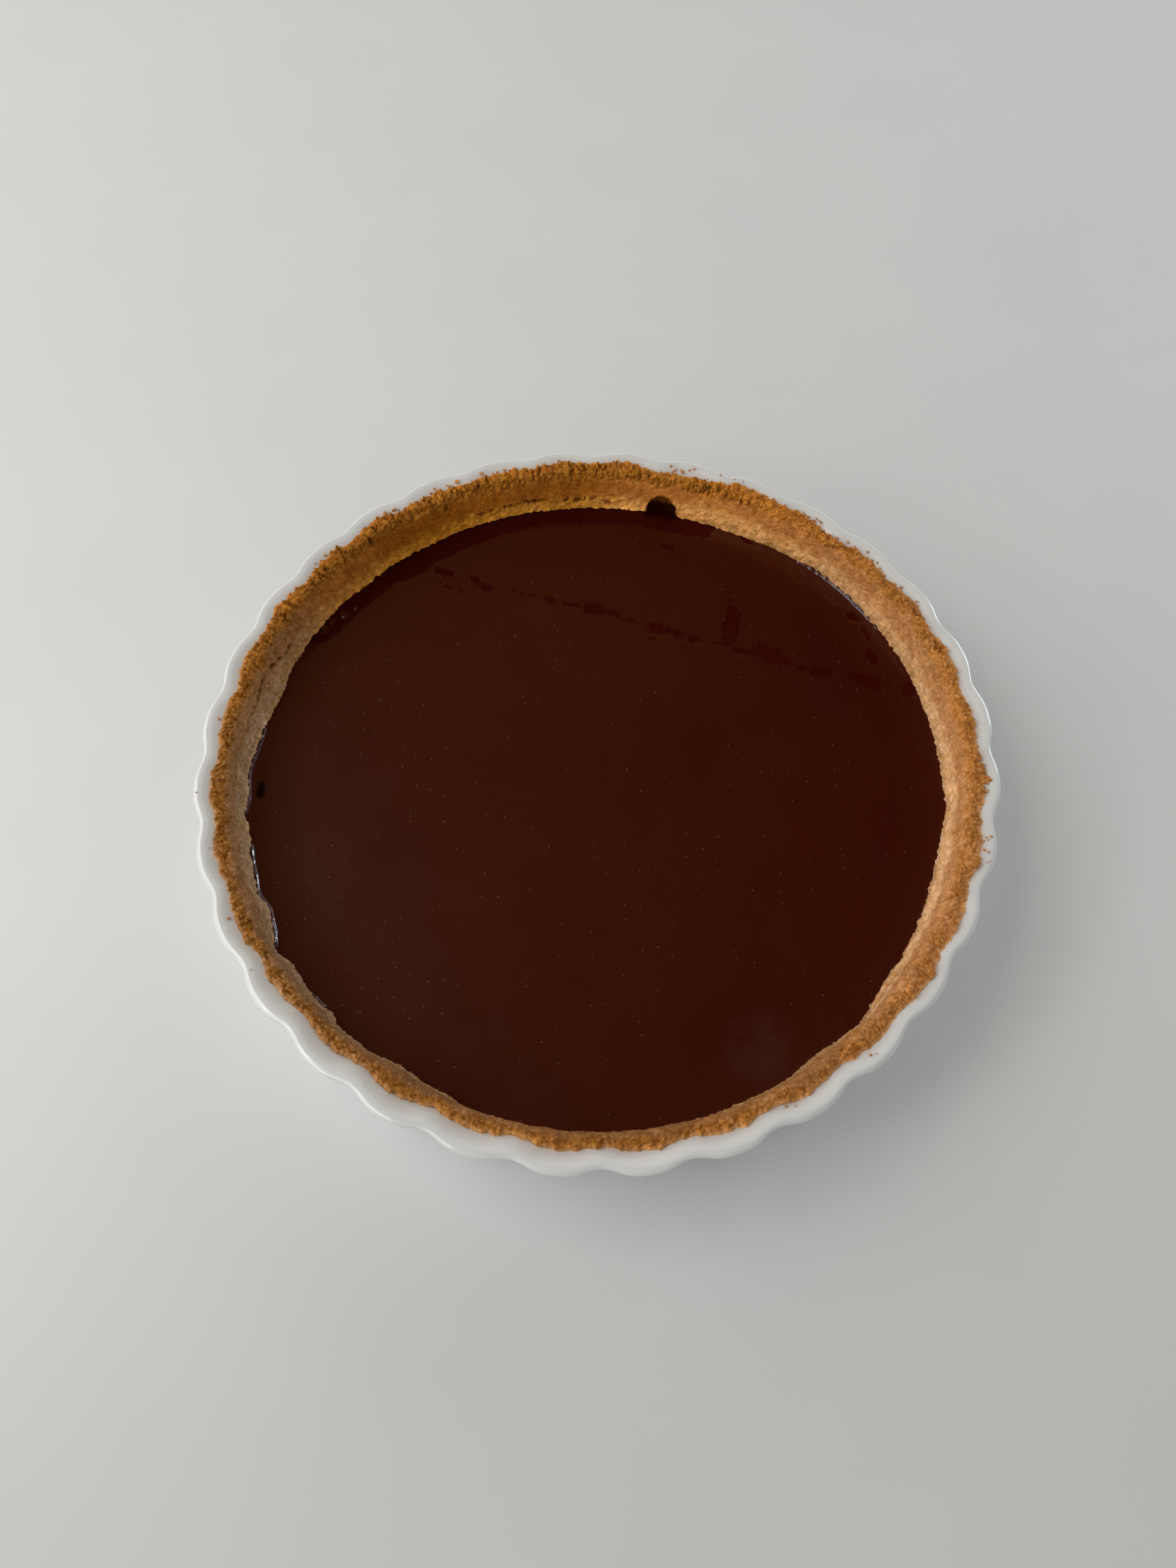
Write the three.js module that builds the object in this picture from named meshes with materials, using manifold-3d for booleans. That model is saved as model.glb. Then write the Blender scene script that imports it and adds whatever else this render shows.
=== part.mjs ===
// A chocolate tart in its own fluted porcelain dish.
// Millimetres, +Z up. The dish stands on z = 0 and is centred on the Z axis.
// Azimuth 0 is the front of the tart (-Y), and azimuth grows towards +X.
// Three closed solids: the dish, the shortcrust shell pressed into it, and the set
// chocolate filling up to its level. Touching solids keep a clear gap of FIT_GAP.

import * as THREE from 'three';
import { mergeVertices } from 'three/addons/utils/BufferGeometryUtils.js';
import Module from 'manifold-3d';

const wasm = await Module();
wasm.setup();

// ---------------------------------------------------------------- driving dimensions

const RIM_RADIUS = 140;             // outermost edge of the dish's lip, mean of the flutes
const DISH_HEIGHT = 42;
const FLUTES = 32;
const FLUTE_PHASE = 7.1;            // azimuth of one flute's crest, degrees
const FLUTE_SHARPNESS = 0.18;       // narrows the valleys between the rounded flutes
const DISH_STEPS = FLUTES * 6;
const FOOD_STEPS = FLUTES * 10;

const DISH_FLOOR = 5;               // thickness of the dish's base
const FOOT_RECESS = 1.5;            // hollow of the underside inside the foot ring
const FIT_GAP = 0.3;

const CRUST_BASE = 6;               // thickness of the shell's base
const CRUST_TOP = 42.4;             // crumbly top edge, about level with the lip
const CRUST_TOP_RADIUS = 133.4;     // where the top edge meets the dish
const CRUST_TOP_MIN_WIDTH = 3.5;
const FILLING_LEVEL = 23.2;
const FILLING_RADIUS = 126;         // mean edge of the filling at its level
const FLOOR_CORNER_RADIUS = 121;    // where the shell's inner side meets its floor
const INNER_LEAN = 0.147;           // the shell's inner side widens upward, mm per mm
const CRUST_FLOOR = DISH_FLOOR + FIT_GAP + CRUST_BASE;

// The broken top edge, from the dish (across 0) to the inner side (across 1), with its
// rise over CRUST_TOP.
const TOP_EDGE = [
  { across: 0, rise: -0.7 },
  { across: 0.33, rise: 0.3 },
  { across: 0.67, rise: 0 },
  { across: 1, rise: -1.2 },
];
const CRUMB_HEIGHT = 0.7;           // relief of the broken top edge
const CRUMB_DEPTH = 0.45;

// A bubble broke in the shell's inner side here, at the filling's level.
const POCKET = { azimuth: 168.5, halfWidth: 5.7, depth: 2.5, height: 8.1, steps: 24 };

// The fired dish is slightly out of round: waves round the rim, amplitude in mm and the
// azimuth of one crest.
const OUT_OF_ROUND = [
  { waves: 2, amplitude: 0.3, crest: 133 },
  { waves: 3, amplitude: 1.1, crest: 114.4 },
  { waves: 4, amplitude: 0.5, crest: 20 },
];

// Where fingers pressed the shell's inner side: azimuth, half width in degrees and how
// far the surface moved outward (mm; negative is dough pushed into the tart).
const FINGER_PRESSES = [
  { azimuth: 35, halfWidth: 3, shift: -0.7 },
  { azimuth: 45, halfWidth: 4, shift: 1.5 },
  { azimuth: 72, halfWidth: 8, shift: -0.8 },
  { azimuth: 85, halfWidth: 3, shift: 1 },
  { azimuth: 102, halfWidth: 12, shift: -0.7 },
  { azimuth: 136, halfWidth: 11, shift: 1.6 },
  { azimuth: 215, halfWidth: 12, shift: -0.8 },
  { azimuth: 229, halfWidth: 3, shift: -0.8 },
  { azimuth: 255, halfWidth: 4, shift: -1.8 },
  { azimuth: 271, halfWidth: 4, shift: 1.9 },
  { azimuth: 278.5, halfWidth: 2.4, shift: 2.2 },
  { azimuth: 287, halfWidth: 6, shift: 0.7 },
  { azimuth: 292.5, halfWidth: 1.8, shift: 0.9 },
  { azimuth: 296.2, halfWidth: 1.6, shift: -0.9 },
  { azimuth: 303, halfWidth: 2.5, shift: 2.7 },
  { azimuth: 316.4, halfWidth: 1.4, shift: -1.3 },
  { azimuth: 318, halfWidth: 5, shift: 0.6 },
  { azimuth: 331, halfWidth: 4, shift: -2.5 },
  { azimuth: 338, halfWidth: 3, shift: -1.3 },
];
const PRESS_AT_TOP = 0.35;          // how much of each press is left at the top edge
const SHELL_OFFSET = { crest: 150, amplitude: 0.6 };   // the shell is thinner on this side

// ---------------------------------------------------------------- materials

const porcelain = new THREE.MeshStandardMaterial({ color: 0xd9d9d4, roughness: 0.15, metalness: 0 });
const shortcrust = new THREE.MeshStandardMaterial({ color: 0xa5682f, roughness: 0.9, metalness: 0 });
const chocolate = new THREE.MeshStandardMaterial({ color: 0x361609, roughness: 0.12, metalness: 0 });

// ---------------------------------------------------------------- shared curves

const radians = THREE.MathUtils.degToRad;

function waveAt(azimuth, waves, crest) {
  return Math.cos(radians(waves * (azimuth - crest)));
}

// Rounded flutes with narrower valleys, between about -1.2 and +0.8.
function flute(azimuth) {
  return waveAt(azimuth, FLUTES, FLUTE_PHASE) - FLUTE_SHARPNESS * waveAt(azimuth, 2 * FLUTES, FLUTE_PHASE);
}

function outOfRound(azimuth) {
  return OUT_OF_ROUND.reduce((sum, w) => sum + w.amplitude * waveAt(azimuth, w.waves, w.crest), 0);
}

// A plan curve of the fluted dish: mean radius, depth of the flutes at that height.
function flutedRadius(azimuth, radius, fluteDepth) {
  return radius + outOfRound(azimuth) * radius / RIM_RADIUS + fluteDepth * flute(azimuth);
}

function angleBetween(a, b) {
  return Math.abs(((a - b + 540) % 360) - 180);
}

// How far the fingers moved the shell's inner side outward, at the filling's level.
function pressed(azimuth) {
  return FINGER_PRESSES.reduce((sum, press) => {
    const t = angleBetween(azimuth, press.azimuth) / press.halfWidth;
    return sum + press.shift * Math.exp(-t * t);
  }, 0);
}

// The shell's inner side at a height between its floor and its top edge.
function innerRadius(azimuth, height) {
  const rise = THREE.MathUtils.clamp((height - FILLING_LEVEL) / (CRUST_TOP - FILLING_LEVEL), 0, 1);
  const round = outOfRound(azimuth) + SHELL_OFFSET.amplitude * waveAt(azimuth, 1, SHELL_OFFSET.crest);
  const press = pressed(azimuth) * THREE.MathUtils.lerp(1, PRESS_AT_TOP, rise);
  return FILLING_RADIUS + round + press + INNER_LEAN * (height - FILLING_LEVEL);
}

// Repeatable scatter between -1 and 1 for the cell (i, j).
function scatter(i, j) {
  let h = Math.imul(i + 1, 374761393) ^ Math.imul(j + 1, 668265263);
  h = Math.imul(h ^ (h >>> 13), 1274126177);
  h ^= h >>> 16;
  return (h >>> 0) / 2147483648 - 1;
}

// ---------------------------------------------------------------- shell of rings

function pointAt(azimuth, radius, height) {
  const angle = radians(azimuth);
  return [radius * Math.sin(angle), -radius * Math.cos(angle), height];
}

// A closed body from rings stacked along a profile that starts on the axis at
// startHeight, runs outward and over, and ends on the axis at endHeight. Each ring is a
// function of azimuth and step number that returns { radius, height }. leanBack picks the
// other diagonal of each quad, so that two bodies that meet are split alike.
function ringBody(rings, steps, startHeight, endHeight, leanBack = false) {
  const positions = [0, 0, startHeight];
  for (const ring of rings) {
    for (let step = 0; step < steps; step += 1) {
      const azimuth = 360 * step / steps;
      const { radius, height } = ring(azimuth, step);
      positions.push(...pointAt(azimuth, radius, height));
    }
  }
  positions.push(0, 0, endHeight);

  const endPole = 1 + rings.length * steps;
  const index = [];
  const vertex = (ring, step) => 1 + ring * steps + step % steps;
  for (let step = 0; step < steps; step += 1) {
    index.push(0, vertex(0, step + 1), vertex(0, step));
    for (let ring = 0; ring < rings.length - 1; ring += 1) {
      const [a, b] = [vertex(ring, step), vertex(ring, step + 1)];
      const [c, d] = [vertex(ring + 1, step + 1), vertex(ring + 1, step)];
      index.push(...(leanBack ? [a, b, d, b, c, d] : [a, b, c, a, c, d]));
    }
    index.push(endPole, vertex(rings.length - 1, step), vertex(rings.length - 1, step + 1));
  }

  const geometry = new THREE.BufferGeometry();
  geometry.setAttribute('position', new THREE.Float32BufferAttribute(positions, 3));
  geometry.setIndex(index);
  return geometry;
}

// ---------------------------------------------------------------- booleans

function toSolid(geometry) {
  const bare = geometry.clone();
  bare.deleteAttribute('normal');
  bare.deleteAttribute('uv');
  const merged = mergeVertices(bare);
  return new wasm.Manifold(new wasm.Mesh({
    numProp: 3,
    vertProperties: new Float32Array(merged.attributes.position.array),
    triVerts: new Uint32Array(merged.index.array),
  }));
}

function toGeometry(solid) {
  const mesh = solid.getMesh();
  const geometry = new THREE.BufferGeometry();
  geometry.setAttribute('position', new THREE.Float32BufferAttribute(mesh.vertProperties, 3));
  geometry.setIndex(Array.from(mesh.triVerts));
  return geometry;
}

// ---------------------------------------------------------------- dish

// Mean radius, height and depth of the flutes where the dish's inside holds the shell.
const SHOULDER = { radius: 133.5, height: DISH_HEIGHT - 2.2, flutes: 1.4 };
const WALL_FOOT = { radius: 130, height: 9, flutes: 1.2 };
const FLOOR_EDGE = { radius: 126, height: DISH_FLOOR, flutes: 0.4 };

// Profile from the underside, round the foot, up the outside, over the lip and down the
// inside to the floor.
const DISH_PROFILE = [
  { radius: 121.5, height: FOOT_RECESS, flutes: 0 },
  { radius: 123, height: 0, flutes: 0 },
  { radius: 129.5, height: 0, flutes: 0.4 },
  { radius: 133.7, height: 3.5, flutes: 1.1 },
  { radius: 137.4, height: DISH_HEIGHT - 6.5, flutes: 1.4 },
  { radius: 139.4, height: DISH_HEIGHT - 4.3, flutes: 1.1 },
  { radius: RIM_RADIUS, height: DISH_HEIGHT - 2.3, flutes: 1 },
  { radius: 139.1, height: DISH_HEIGHT - 0.6, flutes: 1 },
  { radius: 137, height: DISH_HEIGHT, flutes: 1.1 },
  { radius: 134.8, height: DISH_HEIGHT - 0.5, flutes: 1.3 },
  SHOULDER,
  WALL_FOOT,
  FLOOR_EDGE,
];

function dishGeometry() {
  const rings = DISH_PROFILE.map((row) => (azimuth) => ({
    radius: flutedRadius(azimuth, row.radius, row.flutes),
    height: row.height,
  }));
  return ringBody(rings, DISH_STEPS, FOOT_RECESS, DISH_FLOOR);
}

// ---------------------------------------------------------------- pocket of a burst bubble

// The pocket's rounded hollow, centred on the filling's level: the filling ran into its
// lower half.
function pocketBall(grow) {
  const ball = new THREE.SphereGeometry(1, POCKET.steps, POCKET.steps / 2);
  ball.scale(POCKET.halfWidth + grow, POCKET.depth + grow, POCKET.height + grow);
  ball.rotateZ(radians(POCKET.azimuth));
  ball.translate(...pointAt(POCKET.azimuth, innerRadius(POCKET.azimuth, FILLING_LEVEL), FILLING_LEVEL));
  return toSolid(ball);
}

// Everything below the filling's level, as wide as the tart.
function belowLevel() {
  const block = new THREE.BoxGeometry(2 * RIM_RADIUS, 2 * RIM_RADIUS, FILLING_LEVEL);
  block.translate(0, 0, FILLING_LEVEL / 2);
  return toSolid(block);
}

// ---------------------------------------------------------------- shortcrust shell

function crustGeometry() {
  const against = (row) => (azimuth) => ({
    radius: flutedRadius(azimuth, row.radius - FIT_GAP, row.flutes),
    height: row.height + FIT_GAP,
  });
  const topEdge = ({ across, rise }, row) => (azimuth, step) => {
    const outer = flutedRadius(azimuth, CRUST_TOP_RADIUS, SHOULDER.flutes * (1 - across));
    const inner = Math.min(innerRadius(azimuth, CRUST_TOP), outer - CRUST_TOP_MIN_WIDTH);
    return {
      radius: THREE.MathUtils.lerp(outer, inner, across) + CRUMB_DEPTH * scatter(step, row),
      height: CRUST_TOP + rise + CRUMB_HEIGHT * scatter(step, row + TOP_EDGE.length),
    };
  };
  const rings = [
    against(FLOOR_EDGE),
    against(WALL_FOOT),
    against(SHOULDER),
    ...TOP_EDGE.map(topEdge),
    (azimuth) => ({ radius: innerRadius(azimuth, FILLING_LEVEL), height: FILLING_LEVEL }),
    (azimuth) => ({ radius: FLOOR_CORNER_RADIUS + outOfRound(azimuth), height: CRUST_FLOOR }),
  ];
  const shell = toSolid(ringBody(rings, FOOD_STEPS, DISH_FLOOR + FIT_GAP, CRUST_FLOOR));
  return toGeometry(shell.subtract(pocketBall(0)));
}

// ---------------------------------------------------------------- chocolate filling

function fillingGeometry() {
  const rings = [
    (azimuth) => ({
      radius: FLOOR_CORNER_RADIUS - FIT_GAP + outOfRound(azimuth),
      height: CRUST_FLOOR + FIT_GAP,
    }),
    (azimuth) => ({ radius: innerRadius(azimuth, FILLING_LEVEL) - FIT_GAP, height: FILLING_LEVEL }),
  ];
  const pool = toSolid(ringBody(rings, FOOD_STEPS, CRUST_FLOOR + FIT_GAP, FILLING_LEVEL, true));
  const runIn = pocketBall(-FIT_GAP).intersect(belowLevel());
  return toGeometry(pool.add(runIn));
}

// ---------------------------------------------------------------- the tart

function namedMesh(name, geometry, material) {
  const mesh = new THREE.Mesh(geometry, material);
  mesh.name = name;
  return mesh;
}

const tart = new THREE.Group();
tart.add(
  namedMesh('dish', dishGeometry(), porcelain),
  namedMesh('crust', crustGeometry(), shortcrust),
  namedMesh('filling', fillingGeometry(), chocolate),
);

// The out-of-round rim moves the middle of the outline a little: it is put on the axis.
const outline = new THREE.Box3().setFromObject(tart);
const middle = outline.getCenter(new THREE.Vector3());
tart.position.set(-middle.x, -middle.y, 0);

export default tart;
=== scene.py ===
"""A chocolate tart in its own fluted porcelain dish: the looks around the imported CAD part.

Lengths are millimetres until a mesh is written in metres. Azimuth 0 is the front of the
tart (-Y), and azimuth grows towards +X. The shapes follow the part's driving dimensions and
add what its solids leave out: the glazed lip's curves, the crumb and tears of the
shortcrust, and the set surface of the chocolate. A noise takes a width and its own seed.
"""

import math

import bmesh
import bpy
import numpy as np
from mathutils import Matrix, Vector


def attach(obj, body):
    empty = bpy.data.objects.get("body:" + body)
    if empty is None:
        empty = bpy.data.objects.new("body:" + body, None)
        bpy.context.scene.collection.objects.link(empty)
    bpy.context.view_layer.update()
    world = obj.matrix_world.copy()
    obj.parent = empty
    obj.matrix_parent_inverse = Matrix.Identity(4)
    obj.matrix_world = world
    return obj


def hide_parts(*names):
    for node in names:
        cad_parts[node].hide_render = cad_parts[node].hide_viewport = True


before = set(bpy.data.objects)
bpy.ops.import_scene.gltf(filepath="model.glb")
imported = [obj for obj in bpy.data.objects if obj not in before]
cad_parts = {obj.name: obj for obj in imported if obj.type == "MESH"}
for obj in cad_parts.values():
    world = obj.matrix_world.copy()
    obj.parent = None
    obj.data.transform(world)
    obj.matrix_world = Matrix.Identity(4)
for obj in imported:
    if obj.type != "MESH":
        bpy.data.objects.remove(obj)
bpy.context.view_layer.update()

# ---------- driving dimensions

RIM_RADIUS = 140.0
FLUTES = 32
FLUTE_PHASE = 7.1
FLUTE_SHARPNESS = 0.18
OUTLINE_STEPS = FLUTES * 6
DISH_FLOOR = 5.0
FIT_GAP = 0.3

CRUST_BASE = 6.0
CRUST_TOP = 42.4
CRUST_TOP_RADIUS = 133.4
CRUST_TOP_MIN_WIDTH = 2.8
FILLING_LEVEL = 23.2
FILLING_RADIUS = 126.0
FLOOR_CORNER_RADIUS = 121.0
INNER_LEAN = 0.147
CRUST_FLOOR = DISH_FLOOR + FIT_GAP + CRUST_BASE
WALL_DEGREE = math.radians(1) * FILLING_RADIUS  # one degree round the filling's edge, mm

# waves round the rim, amplitude in mm, azimuth of one crest
OUT_OF_ROUND = ((2, 0.3, 133), (3, 1.1, 114.4), (4, 0.5, 20))

# azimuth, half width in degrees, outward shift in mm
FINGER_PRESSES = (
    (35, 3, -0.7), (45, 4, 1.5), (72, 8, -0.8), (85, 3, 1.0), (102, 12, -0.7),
    (136, 11, 1.6), (215, 12, -0.8), (229, 3, -0.8), (255, 4, -1.8), (271, 4, 1.9),
    (278.5, 2.4, 2.2), (287, 6, 0.7), (292.5, 1.8, 0.9), (296.2, 1.6, -0.9),
    (303, 2.5, 2.7), (316.4, 1.4, -1.3), (318, 5, 0.6), (331, 4, -2.5), (338, 3, -1.3),
)
PRESS_AT_TOP = 0.35  # share of a press that is left at the top edge
SHELL_OFFSET_CREST = 150
SHELL_OFFSET = 0.6  # the shell's inner side is this far off the rim's middle, mm

# the burst bubble in the back inner side, a little wider and higher than in the part
POCKET_AZIMUTH = 168.5
POCKET_HALF_WIDTH = 6.7
POCKET_DEPTH = 2.4
POCKET_HEIGHT = 9.3

# mean radius, height, depth of the flutes; the lip has more rows than in the part, and is
# thicker at its inner shoulder, where the crust's edge rests on it
DISH_PROFILE = (
    (121.5, 1.5, 0), (123, 0, 0), (129.5, 0, 0.4), (133.7, 3.5, 1.1), (137.4, 35.5, 1.4),
    (139.3, 37.4, 1.3), (140, 39.2, 1.25), (139.85, 40.7, 1.15), (139.3, 41.5, 1),
    (138.4, 42, 0.95), (137, 41.85, 1.05), (135.6, 41.4, 1.1), (134.2, 40.8, 1.05),
    (132.6, 40, 0.95), (131.5, 38.6, 0.9), (132.3, 34, 1.3), (130, 9, 1.2), (126, 5, 0.4),
)
LIP_ROWS = slice(7, 15)  # from the lip's outermost row to its inner shoulder

# ---------- shared curves


def wave(azimuth, waves, crest):
    """A cosine with a number of waves in the whole round."""
    return np.cos(np.radians(waves * (azimuth - crest)))


def flute(azimuth):
    """Rounded flutes with narrower valleys."""
    sharper = FLUTE_SHARPNESS * wave(azimuth, 2 * FLUTES, FLUTE_PHASE)
    return wave(azimuth, FLUTES, FLUTE_PHASE) - sharper


def out_of_round(azimuth):
    return sum(amplitude * wave(azimuth, waves, crest) for waves, amplitude, crest in OUT_OF_ROUND)


def fluted(azimuth, radius, depth):
    """A mean radius, out of round like the rim and fluted by depth."""
    return radius + out_of_round(azimuth) * radius / RIM_RADIUS + depth * flute(azimuth)


def azimuths(count):
    return np.arange(count) * 360 / count


def angle_from(azimuth, centre):
    """Signed degrees from centre to azimuth, between -180 and 180."""
    return (azimuth - centre + 180) % 360 - 180


def bell(x):
    """1 at 0, falling smoothly to 0 on both sides."""
    return np.exp(-x ** 2)


def pressed(azimuth):
    """How far finger presses shift the shell's inner side outwards, mm."""
    return sum(shift * bell(angle_from(azimuth, at) / half) for at, half, shift in FINGER_PRESSES)


def inner_radius(azimuth, height):
    """The shell's inner side at a height between the filling's level and the top edge."""
    rise = np.clip((height - FILLING_LEVEL) / (CRUST_TOP - FILLING_LEVEL), 0, 1)
    shape = out_of_round(azimuth) + SHELL_OFFSET * wave(azimuth, 1, SHELL_OFFSET_CREST)
    press = pressed(azimuth) * (1 + (PRESS_AT_TOP - 1) * rise)
    return FILLING_RADIUS + shape + press + INNER_LEAN * (height - FILLING_LEVEL)


def outline_middle():
    """The middle of the rim's outline, which the part puts on the Z axis."""
    azimuth = azimuths(OUTLINE_STEPS)
    radius = fluted(azimuth, RIM_RADIUS, 1)
    x, y = radius * np.sin(np.radians(azimuth)), -radius * np.cos(np.radians(azimuth))
    return np.array([(x.max() + x.min()) / 2, (y.max() + y.min()) / 2, 0.0])


MIDDLE = outline_middle()


def place(azimuth, radius, height):
    """Points in millimetres in the part's frame."""
    angle = np.radians(azimuth)
    angle, radius, height = np.broadcast_arrays(angle, radius, height)
    return np.stack([radius * np.sin(angle), -radius * np.cos(angle), height], axis=-1) - MIDDLE


def ease(low, high, value):
    """0 at low and 1 at high, which may be the smaller number, and smooth between them."""
    t = np.clip((value - low) / (high - low), 0, 1)
    return t * t * (3 - 2 * t)


def round_table(azimuth, rows):
    """A value that changes smoothly round the tart, from rows of azimuth (0 first) and value."""
    at, value = np.array(rows + ((360, rows[0][1]),), float).T
    turned = azimuth % 360
    span = np.clip(np.searchsorted(at, turned, side="right") - 1, 0, len(at) - 2)
    t = ease(at[span], at[span + 1], turned)
    return value[span] * (1 - t) + value[span + 1] * t


def monotone_curve(knots, values, at):
    """A smooth curve through rows of values, one row for each knot, that never overshoots."""
    steps = np.diff(knots)[:, None]
    secants = np.diff(values, axis=0) / steps
    before, after = secants[:-1], secants[1:]
    total = np.where(before + after == 0, 1, before + after)
    inside = np.where(before * after > 0, 2 * before * after / total, 0)
    slopes = np.concatenate([secants[:1], inside, secants[-1:]])
    span = np.clip(np.searchsorted(knots, at, side="right") - 1, 0, len(knots) - 2)
    t = (at - knots[span])[:, None] / steps[span]
    curve = values[span] * (1 + 2 * t) * (1 - t) ** 2 + values[span + 1] * t * t * (3 - 2 * t)
    lean = slopes[span] * t * (1 - t) ** 2 + slopes[span + 1] * t * t * (t - 1)
    return curve + steps[span] * lean


# ---------- noise in space

CUBE = np.array(list(np.ndindex(3, 3, 3))) - 1.0
GRADIENTS = CUBE[np.abs(CUBE).sum(axis=1) == 2]
HASH_PRIMES = np.array([0x8DA6B343, 0xD8163841, 0xCB1AB31F], np.uint32)


def cell_hash(cell, seed):
    """A repeatable random 32-bit number for each cell (n, 3)."""
    mixed = (cell.astype(np.int64) & 0xFFFFFFFF).astype(np.uint32) * HASH_PRIMES
    h = mixed[..., 0] ^ mixed[..., 1] ^ mixed[..., 2] ^ np.uint32((seed * 0x9E3779B1) & 0xFFFFFFFF)
    h ^= h >> np.uint32(15)
    h *= np.uint32(0x85EBCA6B)
    h ^= h >> np.uint32(13)
    h *= np.uint32(0xC2B2AE35)
    return h ^ (h >> np.uint32(16))


def noise(points, scale, seed):
    """Gradient noise, about -1 to 1, with features about scale millimetres wide."""
    p = points / scale
    base = np.floor(p)
    f = p - base
    fade = f * f * f * (f * (f * 6 - 15) + 10)
    total = np.zeros(p.shape[:-1])
    for corner in np.ndindex(2, 2, 2):
        step = np.array(corner, float)
        gradient = GRADIENTS[cell_hash(base + step, seed) % np.uint32(len(GRADIENTS))]
        weight = np.prod(np.where(step > 0, fade, 1 - fade), axis=-1)
        total += weight * np.sum(gradient * (f - step), axis=-1)
    return total * 1.4


def fractal(points, scale, seed, octaves=3):
    """Noises of scale, half of it and so on, each half as strong as the one before."""
    total = sum(noise(points, scale / 2**k, seed + k) / 2**k for k in range(octaves))
    return total / (2 - 2.0 ** (1 - octaves))


def grains(points, scale, seed):
    """Rounded grains about scale wide: 1 at a grain's middle, near 0 in the gaps."""
    p = points / scale
    base = np.floor(p)
    nearest = np.full(p.shape[:-1], 9.0)
    second = nearest.copy()
    for offset in CUBE:
        cell = base + offset
        h = cell_hash(cell, seed)
        jitter = np.stack([(h >> np.uint32(s)) & np.uint32(1023) for s in (0, 10, 20)], axis=-1) / 1023
        distance = np.linalg.norm(cell + jitter - p, axis=-1)
        second = np.minimum(second, np.maximum(nearest, distance))
        nearest = np.minimum(nearest, distance)
    return np.clip((second - nearest) * 1.6, 0, 1)


# ---------- mesh of stacked rings


def ring_faces(counts):
    """Faces between stacked rings whose counts stay or halve, with a pole at each end."""
    starts = np.concatenate([[1], 1 + np.cumsum(counts)])
    quads, triangles = [], []
    first = starts[0] + np.arange(counts[0])
    triangles.append(np.stack([np.zeros_like(first), np.roll(first, -1), first], axis=1))
    for ring in range(len(counts) - 1):
        a = starts[ring] + np.arange(counts[ring])
        d = starts[ring + 1] + np.arange(counts[ring + 1])
        c = np.roll(d, -1)
        if len(a) == len(d):
            quads.append(np.stack([a, np.roll(a, -1), c, d], axis=1))
        else:
            left, middle, right = a[0::2], a[1::2], np.roll(a, -2)[0::2]
            for corners in ((left, middle, d), (middle, c, d), (middle, right, c)):
                triangles.append(np.stack(corners, axis=1))
    last = starts[-2] + np.arange(counts[-1])
    end = np.full_like(last, starts[-1])
    triangles.append(np.stack([end, last, np.roll(last, -1)], axis=1))
    return quads, triangles


def add_to_scene(name, data):
    made = bpy.data.objects.new(name, data)
    bpy.context.scene.collection.objects.link(made)
    return made


def add_object(name, points, faces, material, values=None):
    """A smooth-shaded mesh in metres. values are named numbers of its points."""
    mesh = bpy.data.meshes.new(name)
    mesh.from_pydata(points / 1000, [], faces)
    for key, value in (values or {}).items():
        mesh.attributes.new(key, "FLOAT", "POINT").data.foreach_set("value", value.astype(np.float32))
    mesh.shade_smooth()
    mesh.materials.append(material)
    return add_to_scene(name, mesh)


def ring_body(name, rings, first_pole, last_pole, material, values=None):
    """A closed body from rings of points, and the heights of the poles that close its ends."""
    quads, triangles = ring_faces([len(ring) for ring in rings])
    points = np.concatenate([[place(0, 0, first_pole)]] + rings + [[place(0, 0, last_pole)]])
    faces = [row for block in quads + triangles for row in block.tolist()]
    if values:
        values = {key: np.concatenate([[0]] + rows + [[rows[-1][0]]]) for key, rows in values.items()}
    return add_object(name, points, faces, material, values)


# ---------- materials


def fill(made, inputs):
    """Links or sets the inputs of a node."""
    for key, value in inputs.items():
        if isinstance(value, bpy.types.NodeSocket):
            made.id_data.links.new(value, made.inputs[key])
        else:
            made.inputs[key].default_value = value


def node_maker(tree):
    """A function that adds a shader node to the tree and fills its inputs."""

    def node(kind, inputs=None, **settings):
        made = tree.nodes.new("ShaderNode" + kind)
        for key, value in settings.items():
            setattr(made, key, value)
        fill(made, inputs or {})
        return made

    return node


def new_material(name):
    """A node material with its Principled shader and a maker of further nodes."""
    material = bpy.data.materials.new(name)
    material.use_nodes = True
    tree = material.node_tree
    return material, tree.nodes["Principled BSDF"], node_maker(tree)


def millimetres(node):
    """Object coordinates in millimetres."""
    where = node("TexCoord").outputs["Object"]
    return node("VectorMath", {0: where, 3: 1000.0}, operation="SCALE").outputs["Vector"]


def noise_value(node, where, scale, detail=3, roughness=0.55):
    """Noise of about scale millimetres, 0 to 1."""
    inputs = {"Vector": where, "Scale": 1 / scale, "Detail": detail, "Roughness": roughness}
    return node("TexNoise", inputs).outputs["Fac"]


def ramp(node, value, stops):
    """A colour ramp of value; stops are (position, (r, g, b))."""
    made = node("ValToRGB", {"Fac": value})
    elements = made.color_ramp.elements
    while len(elements) < len(stops):
        elements.new(1)
    for element, (position, colour) in zip(elements, stops):
        element.position = position
        element.color = (*colour, 1)
    return made.outputs["Color"]


def blotched(node, value, pair):
    """From the first colour of the pair to the second, where value is low or high."""
    return ramp(node, value, ((0.3, pair[0]), (0.7, pair[1])))


def mixed(node, factor, a, b, blend="MIX"):
    """Two colours or colour sockets mixed."""
    a, b = ((*colour, 1) if isinstance(colour, tuple) else colour for colour in (a, b))
    return node("Mix", {0: factor, 6: a, 7: b}, data_type="RGBA", blend_type=blend).outputs[2]


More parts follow.
